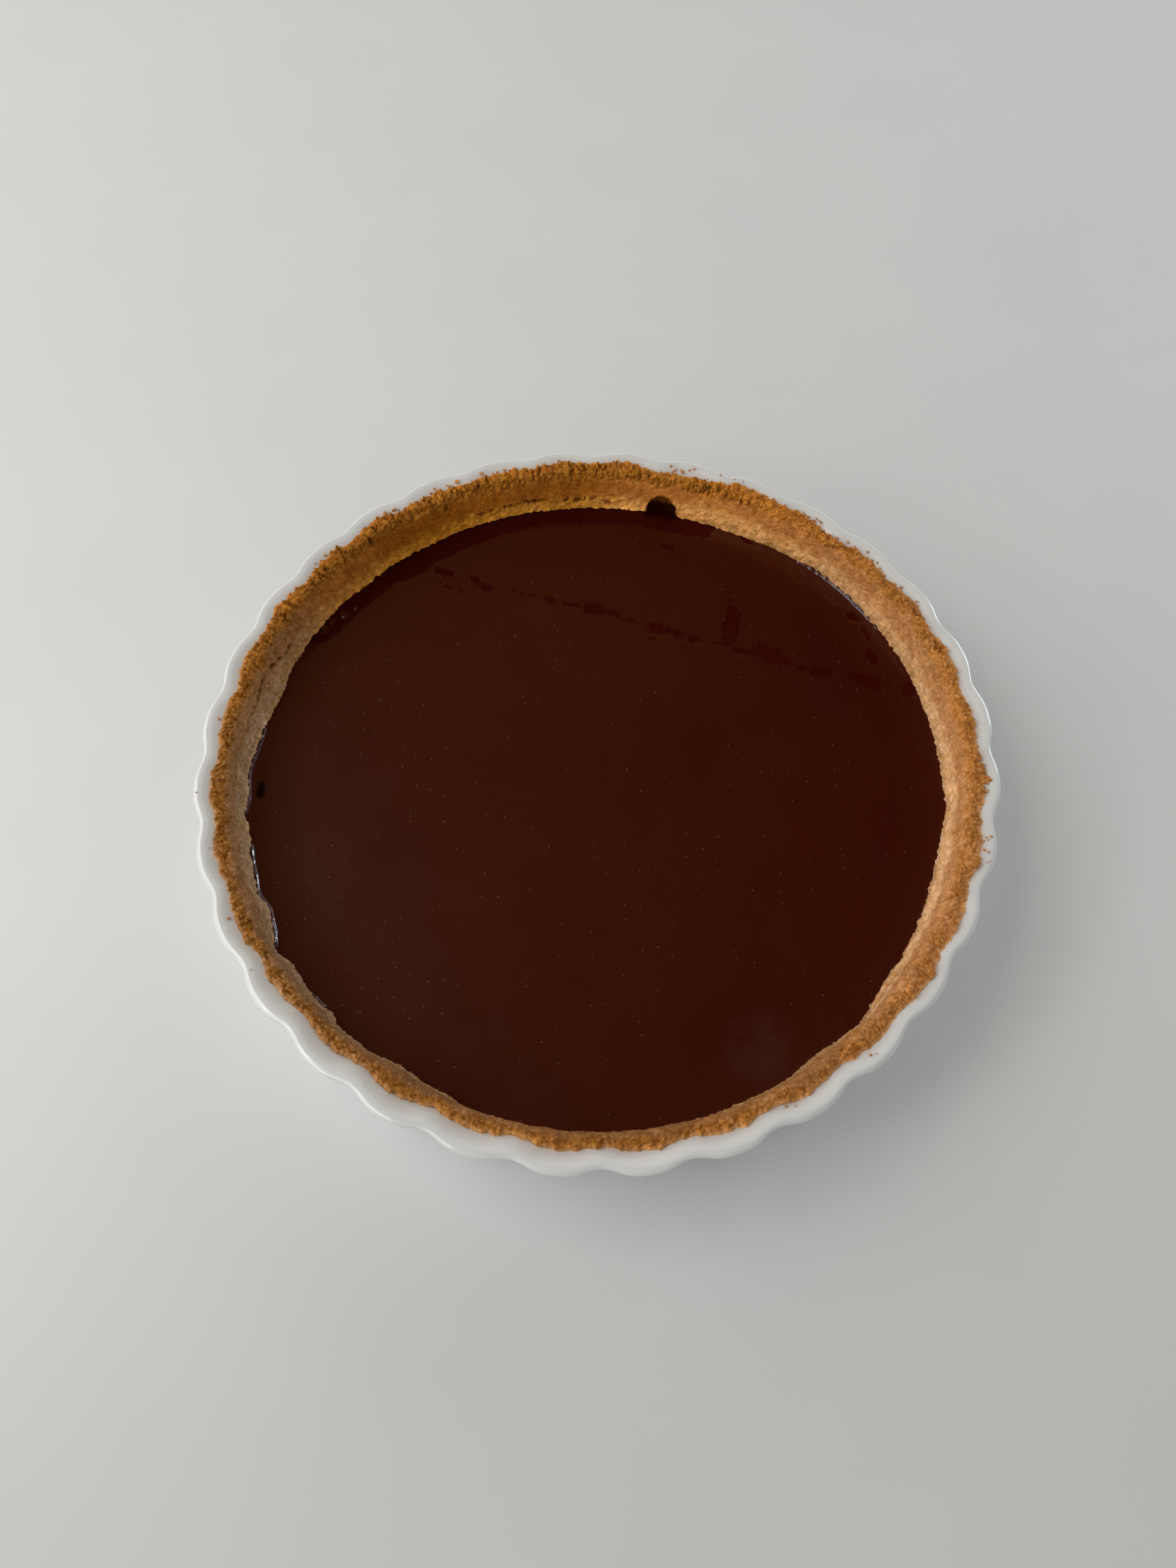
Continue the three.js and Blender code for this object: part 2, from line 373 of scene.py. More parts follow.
def mapped(node, value, low, high, to_low=0, to_high=1):
    """value between low and high, spread between to_low and to_high and held there."""
    inputs = {"Value": value, "From Min": low, "From Max": high, "To Min": to_low, "To Max": to_high}
    return node("MapRange", inputs).outputs["Result"]


def combined(node, a, b, operation="MULTIPLY"):
    return node("Math", {0: a, 1: b}, operation=operation).outputs["Value"]


def attribute(node, name):
    return node("Attribute", attribute_name=name).outputs["Fac"]


def bump(node, height, distance, strength=1, normal=None):
    """Fine relief, distance in mm deep, on top of the relief in normal."""
    inputs = {"Height": height, "Distance": distance / 1000, "Strength": strength}
    if normal is not None:
        inputs["Normal"] = normal
    return node("Bump", inputs).outputs["Normal"]


# colours are linear; a pair is for the darker and the lighter of a material's blotches
GLAZE = ((0.66, 0.67, 0.65), (0.7, 0.705, 0.685))
PINHOLE = (0.6, 0.58, 0.54)
BARE_PORCELAIN = (0.62, 0.58, 0.52)
BARE_FOOT = 0.5  # no glaze under this height, mm


def porcelain_material():
    """White glaze over porcelain, with bare porcelain on the foot ring it was fired on."""
    material, shader, node = new_material("porcelain_glaze")
    where = millimetres(node)
    cloud = noise_value(node, where, 38)
    pinholes = noise_value(node, where, 0.9, 1)
    height = node("SeparateXYZ", {0: where}).outputs["Z"]
    foot = mapped(node, height, BARE_FOOT, 0.1)
    glaze = blotched(node, cloud, GLAZE)
    specked = mixed(node, mapped(node, pinholes, 0.75, 0.82, 0, 0.35), glaze, PINHOLE)
    sheen = mapped(node, cloud, 0.2, 0.8, 0.1, 0.18)
    ripple = noise_value(node, where, 7, 2)
    fill(shader, {
        "Base Color": mixed(node, foot, specked, BARE_PORCELAIN),
        "Roughness": combined(node, sheen, combined(node, foot, 0.55), "ADD"),
        "Normal": bump(node, ripple, 0.12, 0.5),
        "IOR": 1.5,
        "Specular IOR Level": 0.9,
    })
    return material


PLAIN_CRUST = ((0.47, 0.21, 0.074), (0.6, 0.28, 0.106))
GOLDEN_CRUST = ((0.33, 0.096, 0.002), (0.43, 0.13, 0.004))
PALE_CRUST = ((0.6, 0.338, 0.158), (0.72, 0.424, 0.212))
PALE_GOLDEN_CRUST = ((0.44, 0.168, 0.009), (0.54, 0.224, 0.018))
TORN_CRUST = ((0.32, 0.11, 0.007), (0.44, 0.163, 0.016))
# painted highlights: on the lighter grains, and pale sparkles, some of them sugary grains
GRAIN_HIGHLIGHT = (0.66, 0.39, 0.16)
SUGAR_AND_SPARKLE = (0.8, 0.56, 0.27)
# factors on its colour: painted shade in cavities and where chocolate soaked it; across its mottles; and
# from gap to grain, grain tone with painted shade in the gaps and painted highlight on the grains
CAVITY_SHADOW = (0.2, 0.1, 0.035)
MOTTLES = ((0.3, (0.8, 0.72, 0.52)), (0.5, (1.0, 1.0, 1.0)), (0.7, (1.15, 1.26, 1.6)))
GRAIN = ((0.32, (0.62, 0.5, 0.3)), (0.5, (0.99, 0.97, 0.94)), (0.68, (1.3, 1.46, 2.1)))


def shortcrust_material():
    """Baked shortcrust: broken and brown at the top, sandy and paler low on the inner side. Its colour
    also carries painted light and shade from the mesh's values, and painted highlights on its grains.
    """
    material, shader, node = new_material("shortcrust_baked")
    where = millimetres(node)
    gold, low, torn = attribute(node, "gold"), attribute(node, "low"), attribute(node, "torn")
    blotches = noise_value(node, where, 9, 4, 0.6)
    mottle = noise_value(node, where, 2.8, 2, 0.5)
    sand = noise_value(node, where, 1.15, 2, 0.6)
    dust = noise_value(node, where, 0.4, 2, 0.6)
    plain, golden, pale, pale_golden, broken = (
        blotched(node, blotches, pair)
        for pair in (PLAIN_CRUST, GOLDEN_CRUST, PALE_CRUST, PALE_GOLDEN_CRUST, TORN_CRUST)
    )
    colour = mixed(node, low, mixed(node, gold, plain, golden), mixed(node, gold, pale, pale_golden))
    colour = mixed(node, torn, colour, broken)
    colour = mixed(node, 1.0, colour, attribute(node, "shade"), "MULTIPLY")
    colour = mixed(node, 0.8, colour, ramp(node, mottle, MOTTLES), "MULTIPLY")
    coarser = mapped(node, torn, 0, 1, 0.5, 0.8)
    colour = mixed(node, coarser, colour, ramp(node, sand, GRAIN), "MULTIPLY")
    # painted highlights on the grains and sparkles, fewer where the crust is golden
    highlight_share = mapped(node, gold, 0, 1, 1, 0.12)
    grain_highlight = combined(node, mapped(node, sand, 0.54, 0.74, 0, 0.4), highlight_share)
    colour = mixed(node, grain_highlight, colour, GRAIN_HIGHLIGHT)
    sugar_and_sparkle = combined(node, mapped(node, dust, 0.64, 0.78, 0, 0.5), highlight_share)
    colour = mixed(node, sugar_and_sparkle, colour, SUGAR_AND_SPARKLE)
    # painted shade in cavities, and the stain where chocolate soaked the crust, darken its colour and take
    # its gloss
    cavity_shade_and_stain = attribute(node, "cavity_shade_and_stain")
    colour = mixed(node, cavity_shade_and_stain, colour, mixed(node, 1.0, colour, CAVITY_SHADOW, "MULTIPLY"))
    normal = bump(node, mottle, 0.5, 0.5)
    normal = bump(node, sand, 0.4, 0.8, normal)
    normal = bump(node, dust, 0.2, 0.6, normal)
    fill(shader, {
        "Base Color": colour,
        "Normal": normal,
        "Roughness": mapped(node, sand, 0.3, 0.7, 0.72, 0.92),
        "Specular IOR Level": mapped(node, cavity_shade_and_stain, 0, 0.8, 0.2, 0),
        "IOR": 1.4,
    })
    return material


CHOCOLATE = ((0.034, 0.0016, 0.0003), (0.039, 0.0024, 0.0005))
SPECK = (0.2, 0.1, 0.065)
HAZE = (0.058, 0.018, 0.016)
MARKED = (0.0345, 0.0012, 0.0002)
# painted shade in the burst bubble's hollow
HOLE_PAINTED_SHADE = (0.008, 0.0003, 0.0001)
# a lighter, bluish patch of colour round this place; it lightens the colour only and leaves the gloss, and
# what made it is not known
HAZE_PLACE = (54.0, -97.0, 22.0)  # a dull spot that something left on the skin
SPECK_PITCH = 5.5  # width of the cells that hold one pale speck each, mm


def chocolate_material():
    """Set chocolate: very dark red-brown under a glossy skin that is dull where it is marked. A band under
    the shaded back side is made dull and dark like a mark, a painted reflection of that side, and painted
    shade darkens the burst bubble and the line along that side's foot.
    """
    material, shader, node = new_material("chocolate_set")
    where = millimetres(node)
    broken = noise_value(node, where, 1.5, 3, 0.6)
    broken = mapped(node, broken, 0.3, 0.7, -0.35, 0.35)
    # mark holds the real marks and the band of painted reflection under the shaded back side
    mark = mapped(node, combined(node, attribute(node, "mark"), broken, "ADD"), 0.42, 0.58)
    dark = attribute(node, "dark")
    broad = noise_value(node, where, 60, 2)
    cloud = noise_value(node, where, 14, 3)
    base = blotched(node, broad, CHOCOLATE)
    cells = {"Vector": where, "Scale": 1 / SPECK_PITCH}
    cells = node("TexVoronoi", cells, voronoi_dimensions="2D")
    speck_size = mapped(node, cells.outputs["Distance"], 0.022, 0.045, 1, 0)
    chosen = node("SeparateColor", {0: cells.outputs["Color"]}).outputs["Red"]
    speck = combined(node, speck_size, mapped(node, chosen, 0.45, 1))
    speck = combined(node, speck, mapped(node, noise_value(node, where, 24), 0.38, 0.56))
    colour = mixed(node, combined(node, speck, 0.9), base, SPECK)
    haze = node("VectorMath", {0: where, 1: HAZE_PLACE}, operation="DISTANCE").outputs["Value"]
    haze = combined(node, mapped(node, haze, 15, 5), mapped(node, cloud, 0.35, 0.6))
    colour = mixed(node, combined(node, haze, 0.5), colour, HAZE)
    colour = mixed(node, mark, colour, MARKED)
    # painted shade: near black in the burst bubble's hollow and along the shaded back side's foot, where
    # the skin is dull too
    colour = mixed(node, dark, colour, HOLE_PAINTED_SHADE)
    dull = combined(node, mark, dark, "MAXIMUM")
    normal = bump(node, speck, 0.08, 0.6, bump(node, broad, 0.5, 0.3))
    fill(shader, {
        "Base Color": colour,
        "Roughness": mapped(node, cloud, 0.3, 0.7, 0.3, 0.36),
        "Specular IOR Level": 0.1,
        "Normal": normal,
        "Coat Weight": mapped(node, dull, 0, 1, 1, 0),
        "Coat Normal": normal,
        "Coat Roughness": 0.055,
        "Coat IOR": 1.45,
    })
    return material


# ---------- the dish

DISH_STEPS = FLUTES * 24
DISH_SPACING = 0.9  # between the dish's rows, mm
DISH_LONGEST = 14  # a longer stretch gets no more rows than one this long, mm


def dish_piece():
    """The glazed dish: the part's profile as one smooth curve, fluted all the way up."""
    table = np.array(DISH_PROFILE, float)
    knots = np.concatenate([[0], np.cumsum(np.linalg.norm(np.diff(table[:, :2], axis=0), axis=1))])
    at = []
    for low, high in zip(knots[:-1], knots[1:]):
        parts = max(4, math.ceil(min(high - low, DISH_LONGEST) / DISH_SPACING))
        at += list(np.linspace(low, high, parts, endpoint=False))
    rows = monotone_curve(knots, table, np.array(at + [knots[-1]]))
    azimuth = azimuths(DISH_STEPS)
    rings = [place(azimuth, fluted(azimuth, radius, depth), height) for radius, height, depth in rows]
    return ring_body("dish_porcelain", rings, table[0, 1], table[-1, 1], porcelain_material())


def lip_height(azimuth, radius):
    """Height of the lip's upper side at a radius."""
    rows = DISH_PROFILE[LIP_ROWS][::-1]
    radii = [fluted(azimuth, mean, depth) for mean, _, depth in rows]
    total = rows[0][1]
    for nearer, farther, low, high in zip(radii[:-1], radii[1:], rows[:-1], rows[1:]):
        total = total + (high[1] - low[1]) * np.clip((radius - nearer) / (farther - nearer), 0, 1)
    return total


# ---------- the shortcrust shell

CRUST_STEPS = 2048
CRUST_ROW = 0.42  # spacing of the visible rows, mm
CRUST_EDGE_FLUTE = 0.75  # depth of the flutes that the broken edge still follows, mm
CRUST_EDGE_RADIUS = 134.75
EDGE_STRAY = 0.75  # about how far the edge strays from that, mm
TEAR_STRETCH = 5.5  # how much longer a tear is than it is wide
# painted light: the thin outer edge is painted lighter, where light would come through it
THIN_EDGE_PAINTED_LIGHT = 0.4  # how much lighter the thin outer edge is, where light comes through
# painted shade: the burst bubble's lining is painted darker, as its hollow lies in shade
POCKET_SHADE = 0.8  # how light the burst bubble's lining is

# how far the broken edge lies outside its mean circle, mm
EDGE_SHIFT = (
    (0, -1.4), (10, -1.1), (20, -1.1), (30, -0.9), (40, -0.5), (48, 0.5), (60, 0.7), (68, 0.8), (78, 0.5),
    (90, -0.2), (100, -0.6), (110, -0.3), (122, -0.5), (131, -0.4), (138, -1.3), (145, 0), (152, 0.8),
    (158, 0.4), (164, -1.8), (170, -0.9), (177, 0.7), (185, 0.1), (195, -0.4), (205, -1), (212, -1.1),
    (222, -0.3), (232, -0.8), (242, -0.2), (255, -0.4), (265, -0.6), (275, -0.1), (285, -0.3), (293, -0.7),
    (300, -1), (308, -1.6), (316, -2.1), (326, -2.3), (342, -2.4), (352, -1.8),
)
# how far the torn, darker edge reaches from the outer edge
TORN_REACH = (
    (0, 4.4), (35, 4.8), (55, 6.6), (75, 8), (100, 9.5), (125, 10.5), (145, 11), (170, 11.5),
    (205, 12.5), (232, 11.5), (250, 9), (275, 8), (305, 6.6), (335, 5.2),
)
# how deep the upright tears of the torn edge are, mm
TEAR_DEPTH = (
    (0, 0.5), (60, 0.55), (100, 0.7), (128, 1.5), (150, 2), (175, 1.9), (205, 2.1),
    (235, 1.8), (255, 1.2), (300, 0.9), (330, 0.6),
)
# how far teeth of the edge reach out over the dish's shoulder, mm
TEETH_REACH = (
    (0, 0.7), (40, 0.7), (60, 0.8), (80, 1.1), (100, 0.8), (130, 1.5), (150, 1.9), (172, 1.6),
    (205, 1.8), (235, 1.5), (255, 1.2), (285, 1), (320, 0.8),
)
# how much of the torn edge's own, darker colour it has
TORN_TINT = (
    (0, 0.8), (35, 0.7), (60, 0.55), (95, 0.65), (115, 0.65), (130, 0.75), (155, 0.9), (180, 1),
    (300, 1), (335, 0.9),
)
# how golden the inner side is round the tart, most at the back
GOLDEN = (
    (0, 0.5), (30, 0.35), (60, 0.15), (110, 0.25), (130, 0.4), (145, 0.6), (170, 0.75), (186, 0.95),
    (215, 1), (232, 0.9), (247, 0.55), (262, 0.1), (305, 0), (335, 0.35),
)
# how light the crust is round the tart, of the torn edge and of the smooth inner side: how it baked, with
# painted light and shade for how each side is lit
EDGE_SHADE = (
    (0, 0.9), (20, 1.03), (55, 1.1), (90, 1.13), (105, 1.2), (120, 1.03), (150, 1.3), (180, 1.15),
    (205, 1.2), (225, 1.05), (240, 0.92), (255, 0.82), (285, 0.62), (315, 0.6),
)
SIDE_SHADE = (
    (0, 0.52), (30, 0.65), (50, 0.96), (80, 1.04), (110, 0.97), (130, 1.06), (155, 1.34), (172, 1.42),
    (186, 0.94), (203, 1.1), (215, 0.98), (232, 1.05), (247, 0.65), (262, 0.63), (275, 0.55), (290, 0.54),
    (305, 0.43), (335, 0.46),
)
# how much lighter, or below 0 darker, the inner side is just above the chocolate: painted light where it
# is lighter, at the back and left, and the soaked stain where it is darker, at the right
FOOT_LIGHT_AND_STAIN = (
    (0, 0), (50, -0.5), (66, -0.38), (110, -0.18), (150, -0.3), (180, 0.15), (225, 0.15),
    (247, 0.25), (275, 0.35), (305, 0.2),
)
# painted light: how much lighter its pale part is painted round the tart
LOW_PAINTED_LIGHT = (
    (0, 0), (45, 0.05), (62, 0.24), (85, 0.2), (105, 0.1), (135, 0.05), (150, 0.05), (182, 0.25),
    (232, 0.25), (252, 0),
)
# the height under which the inner side is pale and sandy
PALE_BELOW = (
    (0, 30), (40, 32), (60, 34), (80, 34), (95, 31.5), (112, 30), (128, 30), (140, 31),
    (157, 32), (172, 29), (215, 28.5), (232, 29.5), (246, 31.5), (260, 33.4), (290, 33.6), (305, 32),
)

# cracks in the inner side: lines of azimuth and height points
CRACKS = (
    ((247.2, 31), (249, 31.2), (251, 33), (253.5, 36.2)),
    ((255.5, 37.4), (257, 36.2), (258.3, 35), (259.4, 33.8)),
    ((260.7, 35), (262, 34), (263.6, 35.4), (264.9, 34.5)),
    ((191, 28.4), (194.5, 28.4), (198, 28.1)),
    ((181, 28.6), (183, 28), (184.3, 27), (186.8, 27.5)),
    ((178.2, 25.6), (180.2, 26.3)),
    ((200.5, 28.4), (203.5, 28.3)),
)
CRACK_WIDTH = 0.9
CRACK_DEPTH = 2.6

# under this line the inner side split away, and leans in a little
FLAP_LINE = ((45, 25.2), (47.4, 27.5), (50.5, 29.8), (53.9, 31), (55.5, 31.2))
FLAP_BULGE = 0.9

# a strip of dough that was dragged out over the dish's shoulder
STRIP_AZIMUTH = 86.0  # its torn end, where it reaches farthest
STRIP_SPAN = 6.5  # the degrees over which it tapers from there
STRIP_REACH = 3.3  # mm


def crust_controls(azimuth):
    """The smooth shell's section at each azimuth: rows of distance along it, radius, height."""
    shift = round_table(azimuth, EDGE_SHIFT)
    top_outer = fluted(azimuth, CRUST_TOP_RADIUS, CRUST_EDGE_FLUTE) + shift
    edge = fluted(azimuth, CRUST_EDGE_RADIUS, CRUST_EDGE_FLUTE) + shift
    on_lip = lip_height(azimuth, edge) - 0.15
    top_inner = np.minimum(inner_radius(azimuth, CRUST_TOP), top_outer - CRUST_TOP_MIN_WIDTH)
    across = top_inner - top_outer
    corner = FLOOR_CORNER_RADIUS + out_of_round(azimuth)
    level = inner_radius(azimuth, FILLING_LEVEL)
    below = 0.3
    rows = (
        (0.0, edge, on_lip),
        (0.9, edge - 0.3, 0.6 * on_lip + 0.4 * (CRUST_TOP + 0.2)),
        (2.4, top_outer + 0.08 * across, CRUST_TOP + 0.1),
        (5.0, top_outer + 0.5 * across, CRUST_TOP + 0.35),
        (7.0, top_outer + 0.84 * across, CRUST_TOP - 0.1),
        (8.6, top_inner - INNER_LEAN * 1.6, CRUST_TOP - 1.6),
        (13.8, inner_radius(azimuth, 36.0), 36.0),
        (19.9, inner_radius(azimuth, 30.0), 30.0),
        (26.8, level, FILLING_LEVEL),
        (30.8, level + below * (corner - level), FILLING_LEVEL + below * (CRUST_FLOOR - FILLING_LEVEL)),
    )
    along = np.array([row[0] for row in rows])
    radius = np.stack([row[1] for row in rows])
    height = np.stack([np.broadcast_to(row[2], azimuth.shape) for row in rows])
    return along, radius, height


def distance_to_line(azimuth, height, line):
    """Millimetres on the inner side from each point to a line of azimuth and height points."""
    best = np.full(np.shape(azimuth), 99.0)
    for (a0, h0), (a1, h1) in zip(line[:-1], line[1:]):
        x, y = angle_from(azimuth, a0) * WALL_DEGREE, height - h0
        dx, dy = angle_from(a1, a0) * WALL_DEGREE, h1 - h0
        t = np.clip((x * dx + y * dy) / (dx * dx + dy * dy), 0, 1)
        best = np.minimum(best, np.hypot(x - t * dx, y - t * dy))
    return best


def line_height(azimuth, line):
    """Height of a line of azimuth and height points at each azimuth."""
    at = np.array(line, float)
    return np.interp(angle_from(azimuth, at[0, 0]), at[:, 0] - at[0, 0], at[:, 1])


def surface_normals(points):
    """Outward normals of a grid of points (rows, steps, 3) that closes round the steps."""
    along = np.gradient(points, axis=0)
    around = np.roll(points, -1, axis=1) - np.roll(points, 1, axis=1)
    normal = np.cross(around, along)
    return normal / np.linalg.norm(normal, axis=-1, keepdims=True)


class CrustWall:
    """The shell's visible side, from its edge on the lip to just below the filling's level.

    Its fields are grids: rows run along the wall, and steps run round it. s is the distance
    along the wall from its outer edge: the top ends at about 9 mm, and the filling's level
    is at 26.8 mm. wander is a slow noise that makes borders between zones uneven.
    """

    def __init__(self):
        self.azimuth = azimuths(CRUST_STEPS)
        knots, radius, height = crust_controls(self.azimuth)
        along = np.arange(0, knots[-1], CRUST_ROW)
        self.radius = monotone_curve(knots, radius, along)
        self.height = monotone_curve(knots, height, along)
        self.smooth = place(self.azimuth, self.radius, self.height)
        self.s = np.broadcast_to(along[:, None], self.radius.shape)
        self.az = np.broadcast_to(self.azimuth, self.radius.shape)
        self.wander = fractal(self.smooth, 5, 11)

    def noise(self, width, seed):
        return noise(self.smooth, width, seed)

    def round(self, rows):
        return round_table(self.azimuth, rows)


def add_tears(wall):
    """The torn zone along the edge, and its upright tears: noise drawn out along the wall."""
    reach = wall.round(TORN_REACH)
    ragged = wall.s + 3.2 * wall.wander + 1.2 * wall.noise(7, 13)
    wall.torn = 1 - ease(reach - 2, reach + 2, ragged)
    drawn = place(wall.az, RIM_RADIUS, wall.s / TEAR_STRETCH)
    drawn += 0.5 * wall.noise(2.2, 31)[..., None]
    tears = np.abs(noise(drawn, 2.7, 21)) + 0.4 * np.abs(noise(drawn, 1.3, 23))
    wall.tears = 1 - ease(0, 0.36, tears)
    varied = 0.35 + 0.65 * ease(-0.4, 0.5, wall.noise(9, 27))
    wall.tear_depth = wall.round(TEAR_DEPTH) * varied


def add_crumb(wall):
    """Lumps, grains and pits; move is how far they and the tears move the wall, mm."""
    at, torn = wall.smooth, wall.torn
    coarse = grains(at + 0.6 * noise(at, 1.6, 41)[..., None], 1.5, 43)
    fine = grains(at, 0.85, 47)
    wall.lumps = grains(at + 0.8 * noise(at, 2.6, 65)[..., None], 3.1, 63)
    clods = 0.9 * np.clip(wall.tear_depth, 0.5, 1) * (wall.lumps - 0.5)
    wall.pits = ease(0.45, 0.8, noise(at, 1.9, 53)) * ease(-0.1, 0.5, noise(at, 7, 59))
    wall.move = 0.5 * fractal(at, 10, 3) + 0.18 * noise(at, 3.2, 5)
    wall.move += (0.2 + 0.5 * torn) * (coarse - 0.5) + (0.16 + 0.14 * torn) * (fine - 0.5)
    wall.move += torn * (clods + 0.3 * noise(at, 2.4, 61) + 0.45 * noise(at, 5.5, 67))
    wall.move += 0.65 * ease(17, 24, wall.s) * fractal(at, 1.8, 69, 2)
    wall.move -= torn * wall.tear_depth * wall.tears
    wall.move -= 0.5 * wall.pits * (0.4 + 0.6 * torn)


def add_cracks(wall):
    """Crooked, gappy cracks of the inner side, and the flap that leans in under its split."""
    crooked = 0.8 * wall.noise(2.4, 81) + 0.5 * wall.noise(1.1, 82)
    crack = np.zeros(wall.radius.shape)
    for line in CRACKS:
        near = distance_to_line(wall.az, wall.height + crooked, line)
        crack = np.maximum(crack, 1 - ease(0.5 * CRACK_WIDTH, 0.9 * CRACK_WIDTH, near))
    crack *= ease(9.5, 11.5, wall.s) * ease(-0.5, -0.3, wall.noise(2.8, 83))
    under_line = line_height(wall.az, FLAP_LINE) - wall.height
    within = ease(44, 46.5, wall.az) * (1 - ease(54, 56.5, wall.az))
    split = (1 - ease(0.3, 0.8, np.abs(under_line))) * within
    flap = within * ease(0, 1, under_line) * ease(22.5, 24, wall.height)
    wall.crack = np.maximum(crack, split)
    wall.move -= CRACK_DEPTH * wall.crack
    wall.move += FLAP_BULGE * flap


def add_burst_bubble(wall):
    """The hollow of the burst bubble. pocket is 1 at its middle, 0 at its rim, less outside."""
    across = angle_from(wall.az, POCKET_AZIMUTH) * WALL_DEGREE / POCKET_HALF_WIDTH
    pocket = 1 - across ** 2 - ((wall.height - FILLING_LEVEL) / POCKET_HEIGHT) ** 2
    wall.pocket = (pocket + 0.1 * wall.noise(2, 91)) * (wall.s > 12)
    lining = 1 - 0.6 * ease(0, 0.2, wall.pocket)
    wall.move = wall.move * lining - POCKET_DEPTH * np.sqrt(np.clip(wall.pocket, 0, 1))


def broken_edge(wall):
    """How far the edge's teeth and strays reach outwards, and how far the teeth rise, mm."""
    closed = place(wall.azimuth, RIM_RADIUS, 0)
    edge = bell((wall.s - 2.6) / 1.3)
    jag = 0.9 * noise(closed, 3.2, 71) + 0.7 * noise(closed, 1.5, 73) + 0.15
    teeth = wall.round(TEETH_REACH) * np.clip(jag, -0.35, 1.1)
    stray = noise(closed, 6, 75) + 0.8 * noise(closed, 2.6, 77) + 0.5 * noise(closed, 1.2, 79)
    stray = EDGE_STRAY * np.clip(stray, -0.6, 1.1)
    return edge * teeth + bell((wall.s - 1.4) / 2.3) * stray, edge * 0.45 * np.clip(teeth, 0, 2)


def dragged_strip(wall):
    """How far the strip on the lip reaches outwards, mm."""
    past_tip = angle_from(wall.az, STRIP_AZIMUTH)
    strip = ease(-0.4, 0.1, past_tip) * np.clip(1 - past_tip / STRIP_SPAN, 0, 1) ** 1.2
    return STRIP_REACH * (strip * bell((wall.s - 2.2) / 1.2))


def wall_points(wall):
    """The wall with all its features."""
    # nothing moves where the shell lies on the dish or runs on below the filling
    free = ease(-0.2, 1.6, wall.s) * (1 - ease(28.5, 30.5, wall.s))
    points = wall.smooth + surface_normals(wall.smooth) * (wall.move * free)[..., None]
    outward = place(wall.az, 1, 0) + MIDDLE
    out, up = broken_edge(wall)
    points += outward * out[..., None]
    points[..., 2] += up
    # the outermost row follows the lip's upper side
    first = wall.radius[0]
    on_lip = lip_height(wall.azimuth, first + out[0]) - lip_height(wall.azimuth, first)
    points[..., 2] += on_lip * (1 - ease(0, 2, wall.s))
    points += outward * dragged_strip(wall)[..., None]
    return points


def darkness(wall, tint, soaked):
    """Painted shade in cracks, tears, gaps between lumps and pits, and deep in the burst bubble with a
    painted shadow line round its rim, and the stain where chocolate soaked the bubble's foot.
    """
    gaps = wall.torn * (1 - ease(0, 0.16, wall.lumps)) * ease(-0.1, 0.4, wall.noise(6, 85))
    torn = 0.45 * wall.torn * wall.tears * wall.tear_depth + 0.35 * gaps * wall.tear_depth
    deep = ease(0.08, 0.3, wall.pocket)
    rim = ease(-0.06, 0.02, wall.pocket) * (1 - ease(0.03, 0.16, wall.pocket)) * (wall.s > 12)
    return wall.crack + tint * torn + 0.25 * wall.pits + 0.75 * deep + soaked + 0.6 * rim


def browning_and_painted_light(wall, thin, low):
    """Browning with painted light and shade: how light the crust is round the tart, painted lighter at its
    thin edge, where light would come through, and on its pale, low part; at its foot painted lighter at
    the back and left, and darker with the soaked stain at the right.
    """
    shade = wall.round(EDGE_SHADE) * wall.torn + wall.round(SIDE_SHADE) * (1 - wall.torn)
    shade *= 1 + 0.16 * noise(place(wall.az, RIM_RADIUS, wall.s / 3), 2.4, 33)
    shade *= 1 + THIN_EDGE_PAINTED_LIGHT * thin
    shade *= 1 + wall.round(LOW_PAINTED_LIGHT) * low
    return shade * (1 + wall.round(FOOT_LIGHT_AND_STAIN) * ease(27.5, 24.2, wall.height))


def wall_looks(wall):
    """The named values that the crust's material reads."""
    burst = ease(0, 0.25, wall.pocket)
    soaked = burst * ease(28.6, 26.8, wall.height + 0.8 * wall.wander)
    thin = 1 - ease(0.5, 2.8, wall.s)
    pale_below = wall.round(PALE_BELOW)
    uneven_height = wall.height + 2.6 * wall.wander + 1.4 * wall.noise(2.6, 87)
    low = ease(pale_below + 2.8, pale_below - 2.8, uneven_height) * (wall.s > 9)
    tint = wall.round(TORN_TINT)
    shade = browning_and_painted_light(wall, thin, low)
    return {
        # painted light through the thin edge also makes it paler and less torn
        "torn": np.maximum(wall.torn * tint * (1 - 0.6 * thin), burst),
        "low": np.maximum(low, 0.8 * thin),
        "cavity_shade_and_stain": np.clip(darkness(wall, tint, soaked), 0, 1),
        "gold": wall.round(GOLDEN) * np.ones(wall.radius.shape),
        # in the burst bubble the lining takes its painted shade, darker still where chocolate soaked it
        "shade": np.where(burst > 0.5, POCKET_SHADE * (1 - 0.75 * soaked), shade),
    }


